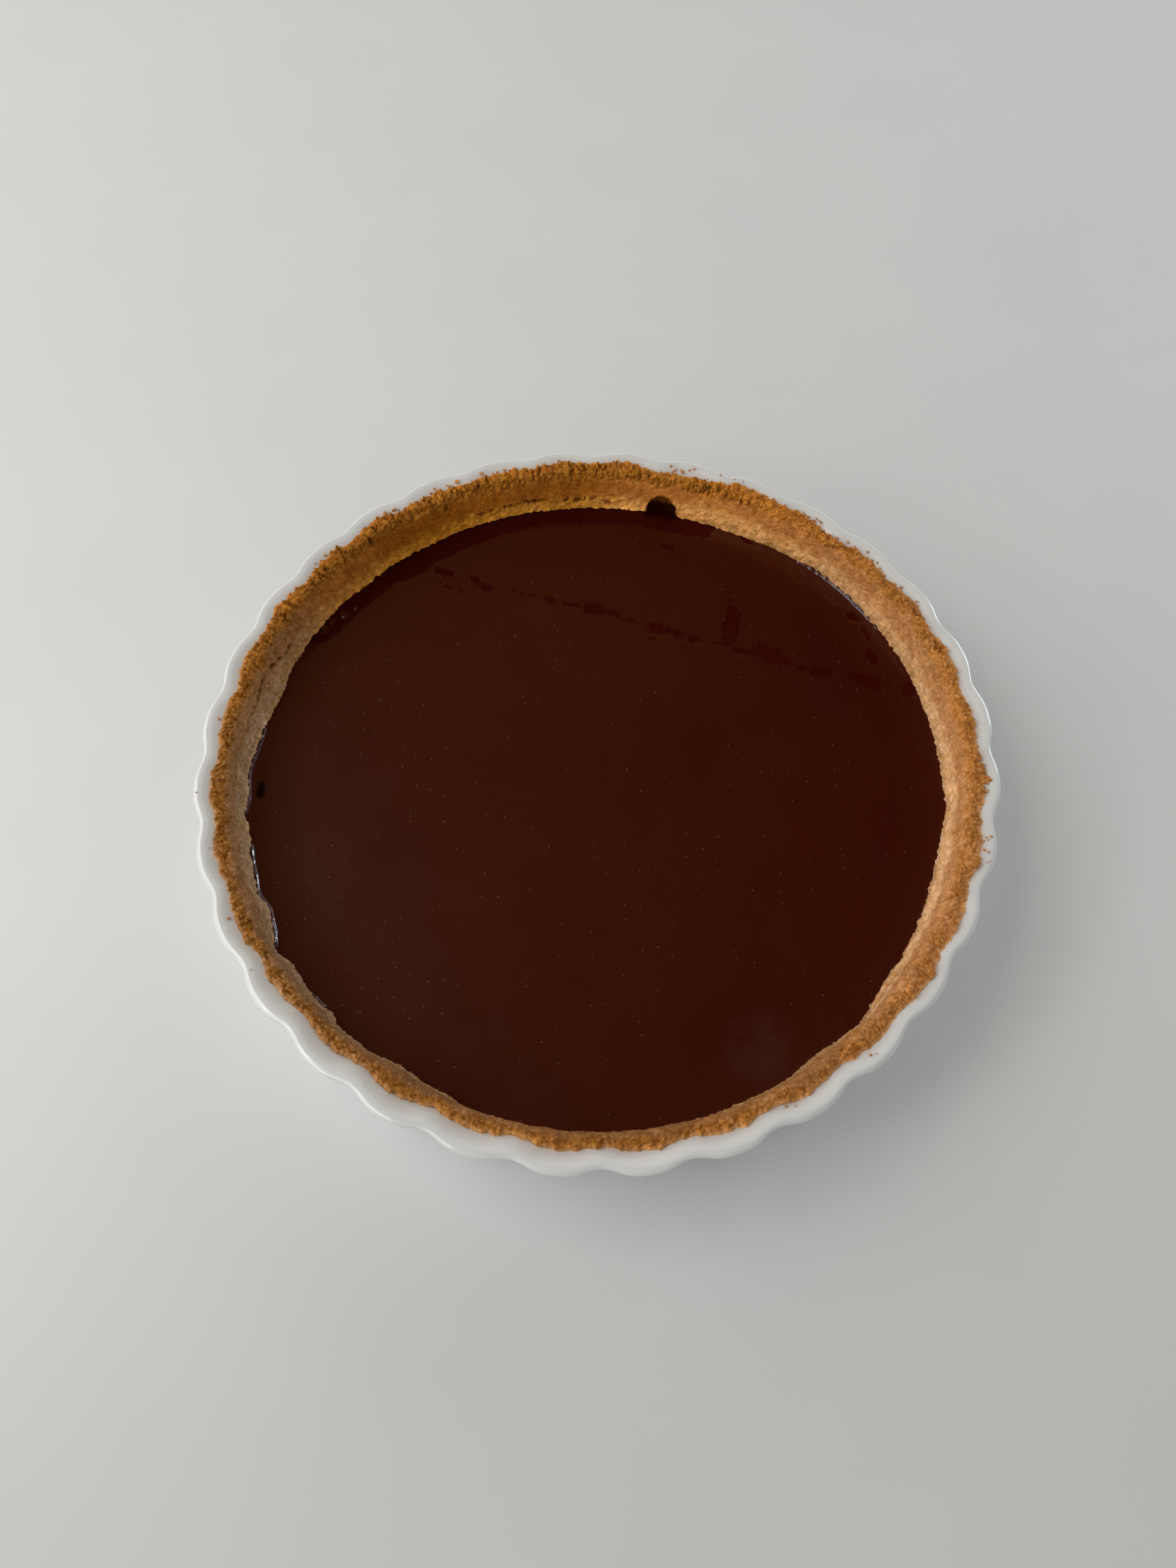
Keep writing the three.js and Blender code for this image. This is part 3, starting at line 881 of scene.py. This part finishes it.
def crust_piece():
    """The shell: its visible side, closed by rows that the dish and the filling hide."""
    wall = CrustWall()
    add_tears(wall)
    add_crumb(wall)
    add_cracks(wall)
    add_burst_bubble(wall)
    azimuth = wall.azimuth
    under_edge = np.minimum(fluted(azimuth, 133.0, 1.3), wall.radius[0] - 0.7)
    farthest = under_edge - FIT_GAP
    hidden = (
        (fluted(azimuth, 125.7, 0.4), DISH_FLOOR + FIT_GAP),
        (fluted(azimuth, 129.7, 1.2), 9.3),
        (np.minimum(fluted(azimuth, 131.9, 1.3), farthest), 34.0),
        (np.minimum(fluted(azimuth, 131.3, 0.9), farthest), 37.4),
        (under_edge, lip_height(azimuth, under_edge) + 0.2),
    )
    floor_corner = (FLOOR_CORNER_RADIUS + out_of_round(azimuth), CRUST_FLOOR)
    rings = [place(azimuth, *row) for row in hidden]
    rings += [*wall_points(wall), place(azimuth, *floor_corner)]
    none = np.zeros(CRUST_STEPS)
    values = {key: [none] * len(hidden) + [*grid, none] for key, grid in wall_looks(wall).items()}
    bottom = DISH_FLOOR + FIT_GAP
    return ring_body("crust_shortcrust", rings, bottom, CRUST_FLOOR, shortcrust_material(), values)


# ---------- the chocolate filling

FILLING_STEPS = 1280
FILLING_ROW = 0.7  # spacing of the skin's rows, mm; near its edge they are closer
EDGE_ROWS = (0.0, 0.18, 0.36, 0.54, 0.74, 0.96, 1.2, 1.5, 1.85, 2.3, 2.9, 3.6, 4.4)
EDGE_OVERLAP = 0.5  # the filling's edge runs this far into the crumb
SKIN_SAG = 1.2  # the set skin is this much lower in the middle than at its edge
SAG_REACH = 18.0  # it is level from this far inside its edge
INSET_REACH = 30.0  # farther inside, the rows no longer follow the finger presses

# how far the edge climbs up the crust, mm
EDGE_CLIMB = (
    (0, 0.12), (119, 0.12), (124, 0.6), (139, 0.7), (143, 0.15), (155, 0.1), (200, 0.1), (250, 0.15),
    (261, 0.25), (263, 0.85), (277, 0.95), (279, 0.15), (283, 0.15), (285, 1), (301, 1), (303, 0.15),
    (312, 0.15), (313, 0.8), (314.5, 0.8), (315.5, 0.15), (345, 0.12),
)

# marks that something left across the set skin: middle x, y, half length, half width, turn
SKIN_MARKS = (
    (-63.7, 93.6, 4.2, 1.6, -20), (-50.6, 89.6, 2.4, 1.4, -40), (-45.6, 85.8, 2.6, 1.4, -35),
    (-35, 84.7, 1.3, 0.5, 0), (-31, 83, 1, 0.6, 0), (-27.5, 82.5, 1.6, 0.5, -15),
    (-20, 80.4, 2.3, 1.4, -30), (-11.5, 78.1, 3.6, 0.9, -12), (-2, 76, 4.4, 2.3, -12),
    (6.1, 74.1, 2.6, 1.1, -20), (12.5, 70.9, 2.2, 0.6, -20), (22.8, 67.1, 4, 2.1, -22),
    (30.3, 65.3, 3, 1.4, -15), (37.6, 62.6, 3, 1, -17), (46.7, 60.7, 1.2, 0.5, 0),
    (52.3, 68.2, 3, 9, -8), (56, 57.2, 4.2, 1.2, -18), (66.7, 55.3, 6.4, 3.4, -22),
    (78.8, 49.8, 1.3, 1.3, 0), (85.4, 47.9, 4.2, 2.1, -6), (99.4, 46.2, 3.4, 1.6, -12),
    (105.3, 43.5, 3.1, 2.4, -30), (119, 40.5, 2.4, 3.6, -20), (99.8, 74, 2.6, 1.4, -45),
    (104.5, 66, 4.5, 0.7, -65), (106.5, 55, 3.4, 1.6, -62), (26.7, 107.9, 3, 0.8, -25),
    (40, 114.6, 3.6, 1.1, -12), (60, 111, 3, 0.8, -30), (-61.6, 86.2, 2, 0.6, -10),
    (-56, 84, 1.6, 0.5, -30), (20.5, 62.5, 1.5, 0.6, -15), (33.5, 58.5, 1.2, 0.5, 10),
)
# and patches of finer spatter
SKIN_SPATTER = (
    (-57, 87, 13, 5, -22), (-30, 83, 20, 2.6, -14), (8, 73.5, 24, 3, -17),
    (60, 57.5, 38, 3.4, -16), (112, 42, 14, 3.6, -14), (22, 109, 16, 5, -25),
)
SPATTER_STRENGTH = 0.3
MARK_DEPTH = 0.12

# painted reflection of the shaded back side: how far from it the skin is made dull and dark like a mark,
# so that it doesn't mirror the ceiling, mm
SHADED_BAND = (
    (0, -2), (157, -2), (159, 6.5), (163, 7.2), (176, 6.9), (198, 7.1), (206, 8.6), (214, 8.8),
    (218, 10), (221, 9.4), (224, 7.2), (239, 7), (242, 5.5), (244, 0), (247, -2),
)
# painted shadow: how dark the line is where the skin meets that side
CONTACT_SHADOW = (
    (0, 0), (163, 0), (165, 0.9), (172, 0.9), (174, 0.1), (180, 0.5), (190, 0.75), (204, 0.45),
    (216, 0.8), (224, 0.7), (232, 0.2), (242, 0.2), (246, 0),
)

# air bubbles under the skin: x, y, radius, and how high the skin stands over them
SKIN_BUBBLES = (
    (-101, 71, 2.1, 0.55), (-105.5, 67, 1.5, 0.45), (-108.2, 63.4, 1.7, 0.45),
    (-97, 74.5, 1.3, 0.35), (8.7, 115.3, 1.5, 0.18), (14.9, 110.9, 1.3, 0.18),
    (27.1, 105.7, 1.1, 0.15), (5.5, 116.4, 0.9, 0.12),
)
# the burst one near the left edge: x, y, half width, half length
BURST_BUBBLE = (-122.4, -7.0, 1.7, 3.9)
BURST_DEPTH = 0.15


def on_skin(points):
    """Lift, marks, the painted shade of the burst bubble's hollow, and bubbles of the set skin at points.
    """
    x, y = points[..., 0], points[..., 1]
    ragged = 1 + 0.75 * noise(points, 2.2, 101) + 0.45 * noise(points, 0.9, 103)
    mark = np.zeros(x.shape)
    for spots, strength in ((SKIN_MARKS, 1.0), (SKIN_SPATTER, SPATTER_STRENGTH)):
        for cx, cy, half_length, half_width, turn in spots:
            c, s = math.cos(math.radians(turn)), math.sin(math.radians(turn))
            u, v = (x - cx) * c + (y - cy) * s, -(x - cx) * s + (y - cy) * c
            inside = (np.abs(u) / half_length) ** 3 + (v / half_width) ** 2
            mark = np.maximum(mark, strength * (1 - ease(0.7, 1.7, inside * ragged)))
    lift = -MARK_DEPTH * mark
    bubble = np.zeros(x.shape)
    for cx, cy, radius, stands in SKIN_BUBBLES:
        d = np.hypot(x - cx, y - cy) / radius
        lift += stands * np.sqrt(np.clip(1 - d * d, 0, 1))
        bubble = np.maximum(bubble, 1 - ease(0.8, 1.05, d))
    cx, cy, half_width, half_length = BURST_BUBBLE
    d = ((x - cx) / half_width) ** 2 + ((y - cy) / half_length) ** 2
    lift -= BURST_DEPTH * np.sqrt(np.clip(1 - d, 0, 1))
    return lift, mark, 1 - ease(0.75, 1.05, d), bubble


def pocket_run(azimuth):
    """How far the filling runs out into the burst bubble, mm."""
    across = angle_from(azimuth, POCKET_AZIMUTH) * WALL_DEGREE / POCKET_HALF_WIDTH
    return (POCKET_DEPTH + 0.4) * np.sqrt(np.clip(1 - across ** 2, 0, 1))


def edge_climb(azimuth, offset):
    """How far the skin climbs against the crust, mm, at a distance from its edge."""
    closed = place(azimuth, FILLING_RADIUS, 0)
    scallops = 1 + 0.45 * noise(closed, 3.2, 111) + 0.4 * noise(closed, 1.3, 113)
    beads = ease(0.15, 0.5, noise(closed, 2.6, 115))
    climb = round_table(azimuth, EDGE_CLIMB) * np.clip(scallops, 0.25, 2) * (0.8 + 0.7 * beads)
    reach = 0.95 + 0.2 * noise(closed, 5, 117)
    return climb * np.clip(1 - offset / reach, 0, 1) ** 1.15


def skin_rows():
    """Distance from the edge and number of steps of each row of the skin."""
    offsets = list(EDGE_ROWS)
    while FILLING_RADIUS - offsets[-1] > 2:
        offsets.append(offsets[-1] + FILLING_ROW)
    steps = FILLING_STEPS
    for offset in offsets:
        share = 1 - offset / FILLING_RADIUS
        if share < 0.62 * steps / FILLING_STEPS and steps > 20:
            steps //= 2
        yield offset, steps


def skin_ring(offset, steps):
    """Points of one row of the skin, its marks with the band of painted reflection under the shaded back
    side, and its painted shade in the burst bubble and along that side.
    """
    azimuth = azimuths(steps)
    run = pocket_run(azimuth)
    wall = inner_radius(azimuth, FILLING_LEVEL) + run
    follow = max(0.0, 1 - offset / INSET_REACH)
    edge = wall * follow + (FILLING_RADIUS + out_of_round(azimuth)) * (1 - follow)
    radius = edge - offset * edge / FILLING_RADIUS + (EDGE_OVERLAP if offset == 0 else 0)
    lift = edge_climb(azimuth, offset) + SKIN_SAG * (max(0.0, 1 - offset / SAG_REACH) ** 2 - 1)
    points = place(azimuth, radius, FILLING_LEVEL + lift)
    raised, mark, hole, bubble = on_skin(points)
    # painted reflection: a band under the shaded back side takes the marks' dull, dark look
    band = round_table(azimuth, SHADED_BAND)
    shaded = 1 - ease(-0.8, 0.8, offset - run - band + 0.7 * noise(points, 3, 119))
    # the painted shadow reaches farther out in front of the burst bubble
    line_width = 1.2 + 2.6 * np.minimum(run, 1.6)
    line = round_table(azimuth, CONTACT_SHADOW) * (1 - ease(0.3, 1, offset / line_width))
    points[:, 2] += raised + 0.04 * noise(points, 22, 121)
    return points, np.maximum(mark, shaded * (1 - bubble)), np.maximum(hole, line)


def filling_piece():
    """The set chocolate: a level skin over a body that the crust hides."""
    azimuth = azimuths(FILLING_STEPS)
    foot = FLOOR_CORNER_RADIUS - FIT_GAP + out_of_round(azimuth)
    side = inner_radius(azimuth, FILLING_LEVEL) + pocket_run(azimuth) - 0.4
    none = np.zeros(FILLING_STEPS)
    rows = [
        (place(azimuth, foot, CRUST_FLOOR + FIT_GAP), none, none),
        (place(azimuth, side, FILLING_LEVEL - 2.5), none, none),
    ]
    rows += [skin_ring(offset, steps) for offset, steps in skin_rows()]
    rings, marks, painted_shades = (list(column) for column in zip(*rows))
    bottom, top = CRUST_FLOOR + FIT_GAP, FILLING_LEVEL - SKIN_SAG
    # mark carries the marks and the painted reflection band, dark carries the painted shade
    values = {"mark": marks, "dark": painted_shades}
    return ring_body("filling_chocolate", rings, bottom, top, chocolate_material(), values)


# ---------- loose crumbs

CRUMB_SEED = 7
# single crumbs on the lip: azimuth, radius, size
LIP_CRUMBS = (
    (77.1, 137.1, 1), (76.5, 136.3, 0.8), (76.9, 135.6, 0.7), (74.6, 136.8, 0.9), (74.9, 135.4, 1),
    (73.3, 137.9, 0.6), (73, 137, 0.5), (277.9, 139, 0.6), (39.3, 135.4, 1.1), (40, 136.3, 0.6),
    (26, 134.4, 0.8), (27.2, 135.4, 0.6), (306.8, 136.1, 0.6), (164, 135.8, 1), (159.3, 136, 0.9),
    (156.9, 136.2, 0.8), (155.3, 136.6, 0.7), (158, 137.3, 0.5), (201, 135.6, 1.6), (205.5, 135.2, 1.5),
    (207, 135, 1.2), (187.5, 135.4, 1), (168, 134.9, 1.1),
)
# stretches of the outer edge with crumbs along them: from, to, how many
CRUMB_STRETCHES = (
    (136, 170, 46), (118, 136, 16), (172, 212, 30), (212, 250, 30), (66, 92, 12), (252, 300, 10),
)


def crumb_ball():
    """Points and faces of a ball of radius 1."""
    made = bmesh.new()
    bmesh.ops.create_icosphere(made, subdivisions=2, radius=1.0)
    points = np.array([v.co for v in made.verts])
    faces = np.array([[v.index for v in f.verts] for f in made.faces])
    made.free()
    return points, faces


def crumbs_piece():
    """Loose crumbs of shortcrust on the lip and along the broken edge."""
    random = np.random.default_rng(CRUMB_SEED)
    spots = list(LIP_CRUMBS)
    for low, high, count in CRUMB_STRETCHES:
        for _ in range(count):
            at = random.uniform(low, high)
            size = random.uniform(0.5, 1.3)
            radius = fluted(at, CRUST_TOP_RADIUS, 1.4) + random.uniform(0.2, 1.7)
            spots.append((at, radius, size))
    ball, faces = crumb_ball()
    points, all_faces, tone = [], [], []
    for number, (azimuth, radius, size) in enumerate(spots):
        stretch = random.uniform(0.65, 1.25, 3) * size / 2
        turn = np.array(Matrix.Rotation(random.uniform(0, math.tau), 3, random.normal(size=3)))
        rough = ball * (1 + 0.38 * noise(ball + 5.0 * number, 0.8, 131))[:, None]
        crumb = (rough * stretch) @ turn.T
        rest = place(azimuth, radius, lip_height(azimuth, radius)) + (0, 0, 0.35 * size)
        all_faces.append(faces + len(ball) * number)
        points.append(crumb + rest)
        tone.append(np.full(len(ball), random.uniform(0.2, 1.0)))
    tone = np.concatenate(tone)
    none = np.zeros(len(tone))
    values = {"torn": none, "cavity_shade_and_stain": none, "low": none + 0.6}
    values.update({"gold": 0.5 * tone, "shade": 0.85 + 0.3 * tone})
    faces = np.concatenate(all_faces).tolist()
    return add_object("crumbs_shortcrust", np.concatenate(points), faces, shortcrust_material(), values)


# ---------- floor, light, camera

# camera of the photograph: its place in millimetres and its angles in degrees
CAMERA_PLACE = (-0.31, -181.52, 377.99)
CAMERA_YAW = -0.965
CAMERA_DOWN = 63.245
CAMERA_ROLL = 0.11
FOCAL_PIXELS = 1534.0
IMAGE_HEIGHT = 2212.0
SENSOR = 36.0


def add_camera():
    turns = ((-CAMERA_YAW, "Z"), (90 - CAMERA_DOWN, "X"), (CAMERA_ROLL, "Z"))
    yaw, tilt, roll = (Matrix.Rotation(math.radians(angle), 4, axis) for angle, axis in turns)
    data = bpy.data.cameras.new("camera")
    data.sensor_width = SENSOR
    data.lens = FOCAL_PIXELS / IMAGE_HEIGHT * SENSOR
    camera = add_to_scene("camera", data)
    camera.matrix_world = Matrix.Translation(Vector(CAMERA_PLACE) / 1000) @ yaw @ tilt @ roll
    bpy.context.scene.camera = camera


DAYLIGHT = (0.98, 1.0, 0.99)
# soft rectangular lights that face the part: name, place and size in metres, watts, colour
AREA_LIGHTS = (
    ("window", (-0.93, 0.08, 1.17), (1.0, 0.9), 8.4, DAYLIGHT),
    ("low_window", (-1.3, -0.3, 0.4), (2.6, 0.36), 9.2, DAYLIGHT),
    ("front_window", (-1.05, -0.5, 0.72), (0.22, 0.16), 1.3, DAYLIGHT),
    ("far_window", (1.75, 1.25, 0.32), (0.8, 0.26), 14.0, (0.72, 0.88, 1.0)),
)


def add_area(name, location, size, power, colour):
    data = bpy.data.lights.new(name, "AREA")
    data.shape = "RECTANGLE"
    data.size, data.size_y = size
    data.energy = power
    data.color = colour
    light = add_to_scene(name, data)
    light.location = location
    light.rotation_euler = (-Vector(location)).to_track_quat("-Z", "Y").to_euler()


# soft light from each side: direction and colour
SKY_SIDES = (
    ((-1, 0, 0), (0.16, 0.16, 0.16)),
    ((1, 0, 0), (0.8, 0.81, 0.83)),
    ((0, -1, 0), (0.58, 0.58, 0.58)),
    ((0, 1, 0), (1.6, 1.6, 1.6)),
)
# the ceiling that the chocolate mirrors: direction, and colour at the left and right
CEILING = (0, 0.42, 0.9075)
CEILING_LEFT = (0.23, 0.11, 0.03)
CEILING_RIGHT = (0.035, 0.01, 0.0)
HORIZON = 0.6  # share of its brightness that the soft light has at the horizon
SHADED_RIGHT = 0.4  # and the share that it has at the far right


def add_world():
    """Soft light from the sides, most of it from the back, under a dim warm ceiling."""
    world = bpy.data.worlds.new("studio")
    world.use_nodes = True
    node = node_maker(world.node_tree)
    where = node("TexCoord").outputs["Generated"]

    def towards(direction):
        made = node("VectorMath", {0: where, 1: direction}, operation="DOT_PRODUCT")
        return made.outputs["Value"]

    light = (0, 0, 0)
    for direction, colour in SKY_SIDES:
        light = mixed(node, mapped(node, towards(direction), 0, 1), light, colour, "ADD")
    upward, rightward = towards((0, 0, 1)), towards((1, 0, 0))
    light = mixed(node, 1, light, mapped(node, upward, 0, 0.45, HORIZON, 1), "MULTIPLY")
    light = mixed(node, 1, light, mapped(node, rightward, 0.5, 0.85, 1, SHADED_RIGHT), "MULTIPLY")
    ceiling = mixed(node, mapped(node, rightward, -0.1, 0.4), CEILING_LEFT, CEILING_RIGHT)
    light = mixed(node, mapped(node, towards(CEILING), 0.7, 0.88), light, ceiling)
    fill(world.node_tree.nodes["Background"], {"Color": light})
    bpy.context.scene.world = world


FLOOR = ((0.69, 0.705, 0.7), (0.71, 0.725, 0.715))
FLOOR_HALF = 2500.0


def floor_material():
    """A plain pale table top, with painted shade that darkens it towards the camera."""
    material, shader, node = new_material("floor_pale")
    where = millimetres(node)
    tint = blotched(node, noise_value(node, where, 90), FLOOR)
    ahead = node("SeparateXYZ", {0: where}).outputs["Y"]
    # painted shade: darker towards the camera, where less light comes in from the front
    darker = mapped(node, ahead, -260, -40, 0.87, 1)  # towards the camera
    fill(shader, {"Base Color": mixed(node, 1.0, tint, darker, "MULTIPLY"), "Roughness": 0.45})
    return material


def add_floor():
    corners = FLOOR_HALF * np.array([(-1, -1, 0), (1, -1, 0), (1, 1, 0), (-1, 1, 0)])
    floor = add_object("floor", corners, [(0, 1, 2, 3)], floor_material())


# ---------- the scene

for piece, node_name, slot_name in (
    (dish_piece(), "dish", "porcelain"),
    (crust_piece(), "crust", "shortcrust"),
    (filling_piece(), "filling", "chocolate"),
    (crumbs_piece(), None, "shortcrust"),
):
    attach(piece, "root")
    if node_name:
        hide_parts(node_name)

add_floor()
add_world()
for area_light in AREA_LIGHTS:
    add_area(*area_light)
add_camera()
bpy.context.scene.view_settings.view_transform = "Standard"
